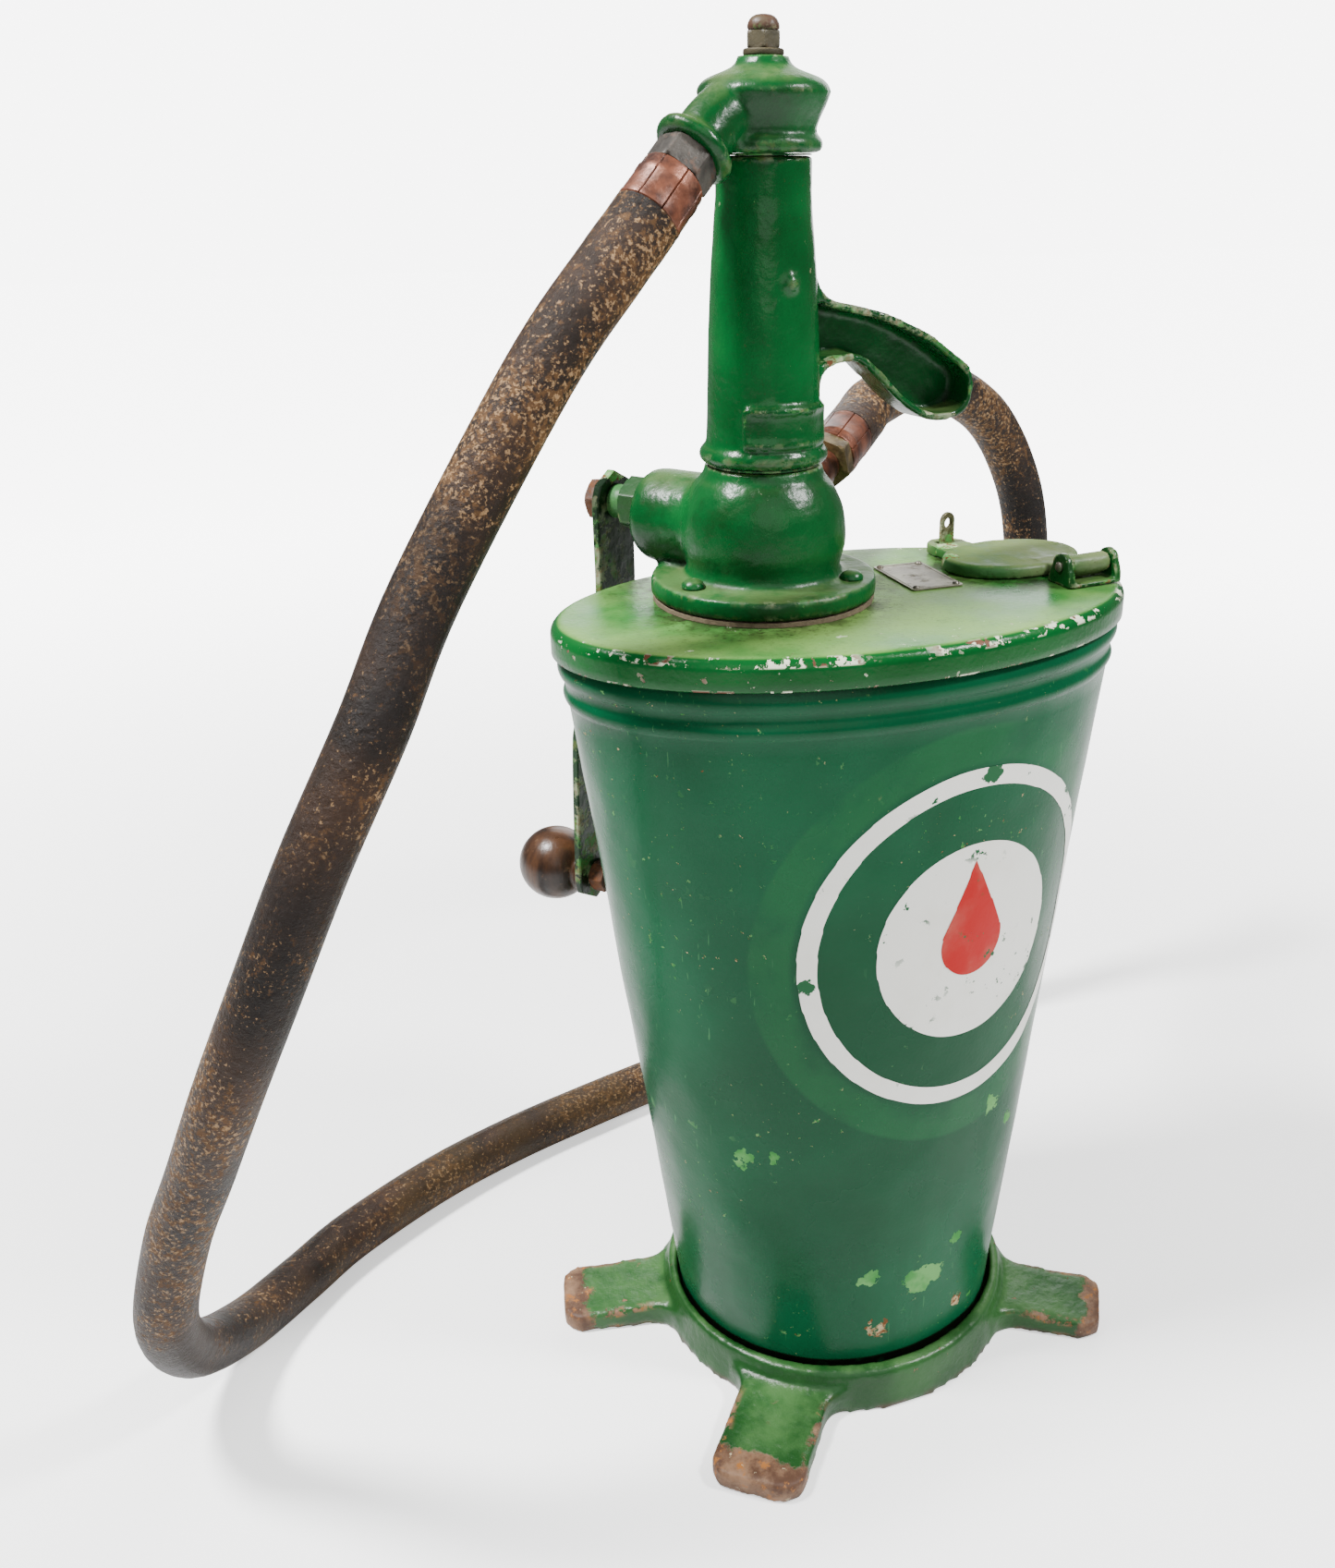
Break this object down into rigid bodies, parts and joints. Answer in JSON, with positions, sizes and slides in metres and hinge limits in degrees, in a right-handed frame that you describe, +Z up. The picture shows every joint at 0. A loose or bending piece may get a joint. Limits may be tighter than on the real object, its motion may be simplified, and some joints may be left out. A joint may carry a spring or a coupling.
{
  "type": "rotary hand transfer pump",
  "caption": "Hand-cranked rotary oil pump on a tapered oval sheet-metal tank with cast feet, tall column with a curved open spout, filler cap and a thick rubber delivery hose.",
  "frame": {"origin": "on the floor at the centre of the cast base's flat underside", "axes": "+Z up; +X along the long axis of the oval lid, from the pump towards the filler cap; -Y is the front, the side with the round sign"},
  "size_m": [0.7411, 0.4534, 0.8],
  "materials": {
    "acorn_nut": "rusty steel",
    "base_casting": "worn gloss green enamel",
    "cap_seal": "aged rubber",
    "column": "worn gloss green enamel",
    "column_gasket": "oily fibre",
    "crank_arm": "worn gloss green enamel",
    "crank_hub": "worn gloss green enamel",
    "crank_knob": "worn polished wood",
    "crank_nut": "rusty steel",
    "crank_shaft": "dull worn steel",
    "data_plate": "dull worn steel",
    "delivery_ferrule": "browned copper",
    "delivery_union": "dull brass",
    "drive_gear": "dull worn steel",
    "filler_cap": "worn gloss green enamel",
    "filler_neck": "dull worn steel",
    "flange_screw_1": "worn gloss green enamel",
    "flange_screw_2": "worn gloss green enamel",
    "flange_screw_3": "worn gloss green enamel",
    "gland_nut": "dull brass",
    "gland_packing": "oily fibre",
    "head_gasket": "oily fibre",
    "hinge_bracket": "worn gloss green enamel",
    "hinge_pin": "dull worn steel",
    "hose": "aged rubber",
    "idler_gear": "dull worn steel",
    "idler_spindle": "dull worn steel",
    "knob_spindle": "dull worn steel",
    "lid_seal": "aged rubber",
    "park_ferrule": "browned copper",
    "park_nozzle": "browned copper",
    "park_union": "dull brass",
    "plate_rivet_1": "dull worn steel",
    "plate_rivet_2": "dull worn steel",
    "plate_rivet_3": "dull worn steel",
    "plate_rivet_4": "dull worn steel",
    "pump_body": "worn gloss green enamel",
    "pump_gasket": "oily fibre",
    "pump_head": "worn gloss green enamel",
    "shaft_bush": "dull brass",
    "spindle_nut": "rusty steel",
    "staple_tab": "dull worn steel",
    "suction_pipe": "dull worn steel",
    "suction_strainer": "dull brass",
    "tank_lid": "worn gloss green enamel",
    "tank_shell": "worn gloss green enamel",
    "tie_rod": "dull worn steel",
    "top_nut": "worn gloss green enamel",
    "top_washer": "dull worn steel"
  },
  "bodies": {
    "stand": {"acorn_nut": "acorn_nut", "base_casting": "base_casting", "column": "column", "column_gasket": "column_gasket", "data_plate": "data_plate", "delivery_ferrule": "delivery_ferrule", "delivery_union": "delivery_union", "filler_neck": "filler_neck", "flange_screw_1": "flange_screw_1", "flange_screw_2": "flange_screw_2", "flange_screw_3": "flange_screw_3", "gland_nut": "gland_nut", "gland_packing": "gland_packing", "head_gasket": "head_gasket", "hinge_bracket": "hinge_bracket", "hinge_pin": "hinge_pin", "hose": "hose", "idler_spindle": "idler_spindle", "lid_seal": "lid_seal", "park_ferrule": "park_ferrule", "park_nozzle": "park_nozzle", "park_union": "park_union", "plate_rivet_1": "plate_rivet_1", "plate_rivet_2": "plate_rivet_2", "plate_rivet_3": "plate_rivet_3", "plate_rivet_4": "plate_rivet_4", "pump_body": "pump_body", "pump_gasket": "pump_gasket", "pump_head": "pump_head", "shaft_bush": "shaft_bush", "staple_tab": "staple_tab", "suction_pipe": "suction_pipe", "suction_strainer": "suction_strainer", "tank_lid": "tank_lid", "tank_shell": "tank_shell", "tie_rod": "tie_rod", "top_nut": "top_nut", "top_washer": "top_washer"},
    "crank": {"crank_shaft": "crank_shaft", "drive_gear": "drive_gear", "crank_hub": "crank_hub", "crank_arm": "crank_arm", "crank_nut": "crank_nut", "knob_spindle": "knob_spindle", "spindle_nut": "spindle_nut"},
    "idler": {"idler_gear": "idler_gear"},
    "knob": {"crank_knob": "crank_knob"},
    "cap": {"filler_cap": "filler_cap", "cap_seal": "cap_seal"}
  },
  "joints": [
    {"name": "crank_turn", "type": "hinge", "parent": "stand", "child": "crank", "pos_m": [-0.0456, 0.0184, 0.5465], "axis": [-0.6198, 0.7848, 0], "continuous": true},
    {"name": "idler_spin", "type": "hinge", "parent": "stand", "child": "idler", "pos_m": [-0.0456, 0.0184, 0.5225], "axis": [-0.6198, 0.7848, 0], "continuous": true},
    {"name": "knob_spin", "type": "hinge", "parent": "crank", "child": "knob", "pos_m": [-0.0456, 0.0184, 0.2907], "axis": [-0.6198, 0.7848, 0], "continuous": true},
    {"name": "filler_cap_hinge", "type": "hinge", "parent": "stand", "child": "cap", "pos_m": [0.1416, -0.0255, 0.5145], "axis": [0.996, 0.0889, 0], "range_deg": [0, 110]}
  ],
  "couplings": [
    {"joint": "idler_spin", "follows": "crank_turn", "ratio": -1}
  ]
}
